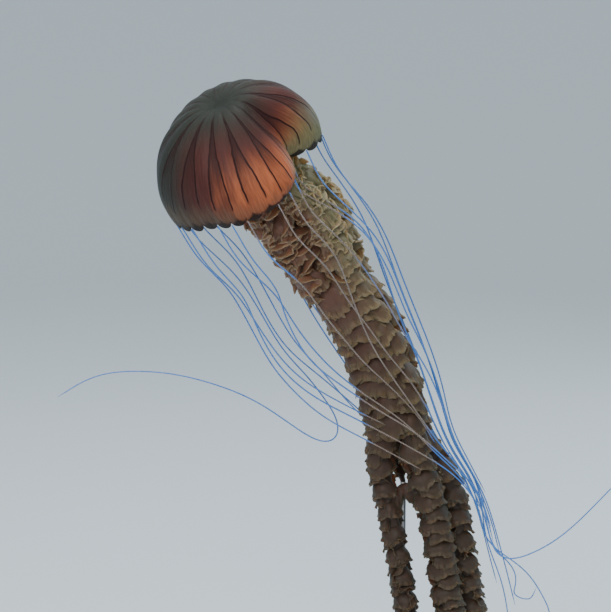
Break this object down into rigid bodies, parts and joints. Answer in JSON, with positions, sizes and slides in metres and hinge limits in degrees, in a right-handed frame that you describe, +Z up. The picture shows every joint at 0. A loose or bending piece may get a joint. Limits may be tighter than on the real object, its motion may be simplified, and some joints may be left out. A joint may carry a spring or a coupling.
{
  "type": "compass sea nettle jellyfish",
  "caption": "Life-size compass jellyfish model: a lobed bell trailing long frilled mouth arms and fine stinging tentacles, held over a round display base by a slim rod.",
  "frame": {"origin": "centre of the display base's underside", "axes": "+Z up; -Y is the side the animal is seen from; the long mouth arms trail down and towards +X"},
  "size_m": [0.7167, 0.3832, 0.8367],
  "materials": {
    "bell": "wet, satin, translucent jelly: reddish brown with dark radial marks",
    "arms": "wet, satin, translucent frills: pinkish brown with pale olive edges",
    "tentacles": "wet, glossy, translucent pale blue",
    "stand_base": "black-stained, satin lacquer",
    "stand_rod": "satin"
  },
  "bodies": {
    "root": {"arm_back_1": "arms", "arm_back_2": "arms", "arm_front_1": "arms", "arm_front_2": "arms", "arm_front_3": "arms", "arm_left_1": "arms", "arm_left_2": "arms", "arm_left_3": "arms", "arm_right_1": "arms", "arm_right_2": "arms", "arm_right_3": "arms", "bell": "bell", "manubrium": "arms", "stand_base": "stand_base", "stand_rod": "stand_rod", "tentacle_01_lower": "tentacles", "tentacle_01_upper": "tentacles", "tentacle_02_lower": "tentacles", "tentacle_02_upper": "tentacles", "tentacle_03_lower": "tentacles", "tentacle_03_upper": "tentacles", "tentacle_04_lower": "tentacles", "tentacle_04_upper": "tentacles", "tentacle_05_lower": "tentacles", "tentacle_05_upper": "tentacles", "tentacle_06_lower": "tentacles", "tentacle_06_upper": "tentacles", "tentacle_07_lower": "tentacles", "tentacle_07_upper": "tentacles", "tentacle_08_lower": "tentacles", "tentacle_08_upper": "tentacles", "tentacle_09_lower": "tentacles", "tentacle_09_upper": "tentacles", "tentacle_10": "tentacles", "tentacle_11_lower": "tentacles", "tentacle_11_upper": "tentacles", "tentacle_12_lower": "tentacles", "tentacle_12_upper": "tentacles", "tentacle_13_lower": "tentacles", "tentacle_13_upper": "tentacles", "tentacle_14": "tentacles", "tentacle_15_lower": "tentacles", "tentacle_15_upper": "tentacles", "tentacle_16_lower": "tentacles", "tentacle_16_upper": "tentacles", "tentacle_17_lower": "tentacles", "tentacle_17_upper": "tentacles", "tentacle_18": "tentacles", "tentacle_19_lower": "tentacles", "tentacle_19_upper": "tentacles", "tentacle_20_lower": "tentacles", "tentacle_20_upper": "tentacles", "tentacle_21_lower": "tentacles", "tentacle_21_upper": "tentacles", "tentacle_22_lower": "tentacles", "tentacle_22_upper": "tentacles", "tentacle_23_lower": "tentacles", "tentacle_23_upper": "tentacles", "tentacle_24_lower": "tentacles", "tentacle_24_upper": "tentacles"}
  },
  "joints": []
}
